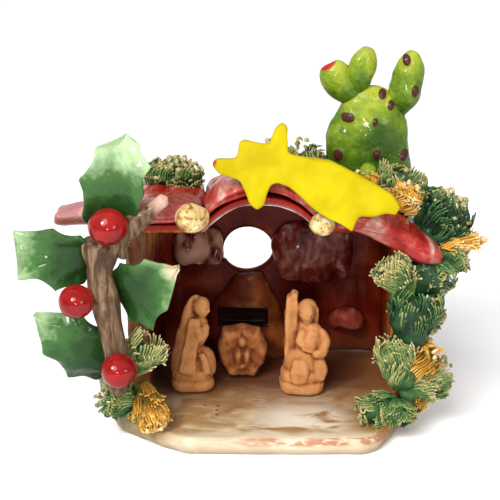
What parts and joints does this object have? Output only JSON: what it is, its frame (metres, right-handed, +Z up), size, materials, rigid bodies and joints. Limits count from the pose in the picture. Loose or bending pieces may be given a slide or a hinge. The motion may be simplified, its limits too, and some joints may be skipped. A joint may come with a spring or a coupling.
{
  "type": "nativity stable",
  "caption": "Small glazed ceramic nativity grotto with a tiled roof, comet star, prickly pear, holly sprig and terracotta figures.",
  "frame": {"origin": "centre of the base's underside, below the middle of the room's floor", "axes": "+Z up, +X to the right of a person who looks into the room, +Y to the closed back"},
  "size_m": [0.1017, 0.054, 0.0827],
  "materials": {
    "base_glaze": "glossy cream glaze with brown brush streaks",
    "cave_glaze": "glossy dark red-brown glaze",
    "rock_glaze": "glossy mauve-grey glaze",
    "tile_glaze": "glossy coral red glaze with white washes",
    "pebble_glaze": "glossy tan glaze",
    "star_glaze": "glossy yellow glaze",
    "cactus_glaze": "glossy yellow-green glaze",
    "foliage_glaze": "satin dark green glaze",
    "ochre_glaze": "satin ochre glaze",
    "bark_glaze": "satin brown glaze",
    "leaf_glaze": "glossy jade green glaze",
    "berry_glaze": "glossy red glaze",
    "terracotta": "matte unglazed terracotta"
  },
  "bodies": {
    "root": {"base_slab": "base_glaze", "grotto_wall": "cave_glaze", "manger_mound": "cave_glaze", "rock_right": "rock_glaze", "rock_left": "rock_glaze", "rock_ledge": "rock_glaze", "vault": "cave_glaze", "tile_left": "tile_glaze", "tile_centre": "tile_glaze", "tile_middle": "tile_glaze", "tile_far_left": "tile_glaze", "tile_right": "tile_glaze", "stone_left": "pebble_glaze", "stone_right": "pebble_glaze", "comet_star": "star_glaze", "cactus_body": "cactus_glaze", "cactus_pad_left": "cactus_glaze", "cactus_pad_middle": "cactus_glaze", "cactus_pad_right": "cactus_glaze", "cactus_bud": "cactus_glaze", "branch": "bark_glaze", "leaf_top": "leaf_glaze", "leaf_upper_left": "leaf_glaze", "leaf_lower_left": "leaf_glaze", "leaf_inner": "leaf_glaze", "berry_top": "berry_glaze", "berry_middle": "berry_glaze", "berry_low": "berry_glaze", "tuft_right_smooth": "foliage_glaze", "tuft_right_big": "foliage_glaze", "tuft_right_roll": "foliage_glaze", "tuft_right_curly": "foliage_glaze", "tuft_right_left": "foliage_glaze", "tuft_right_hanging": "foliage_glaze", "tuft_foot_fan": "foliage_glaze", "tuft_foot_down": "foliage_glaze", "tuft_roof_green": "foliage_glaze", "tuft_roof_low": "foliage_glaze", "tuft_cactus_right": "foliage_glaze", "tuft_star_left": "foliage_glaze", "tuft_star_right": "foliage_glaze", "tuft_roof_left": "foliage_glaze", "tuft_left_fan": "foliage_glaze", "tuft_left_green": "foliage_glaze", "tuft_right_rings": "ochre_glaze", "tuft_foot_ochre": "ochre_glaze", "tuft_roof_orange": "ochre_glaze", "tuft_roof_tail": "ochre_glaze", "tuft_cactus_left": "ochre_glaze", "tuft_left_ochre": "ochre_glaze", "figure_kneeling": "terracotta", "figure_standing": "terracotta", "manger_child": "terracotta"}
  },
  "joints": []
}
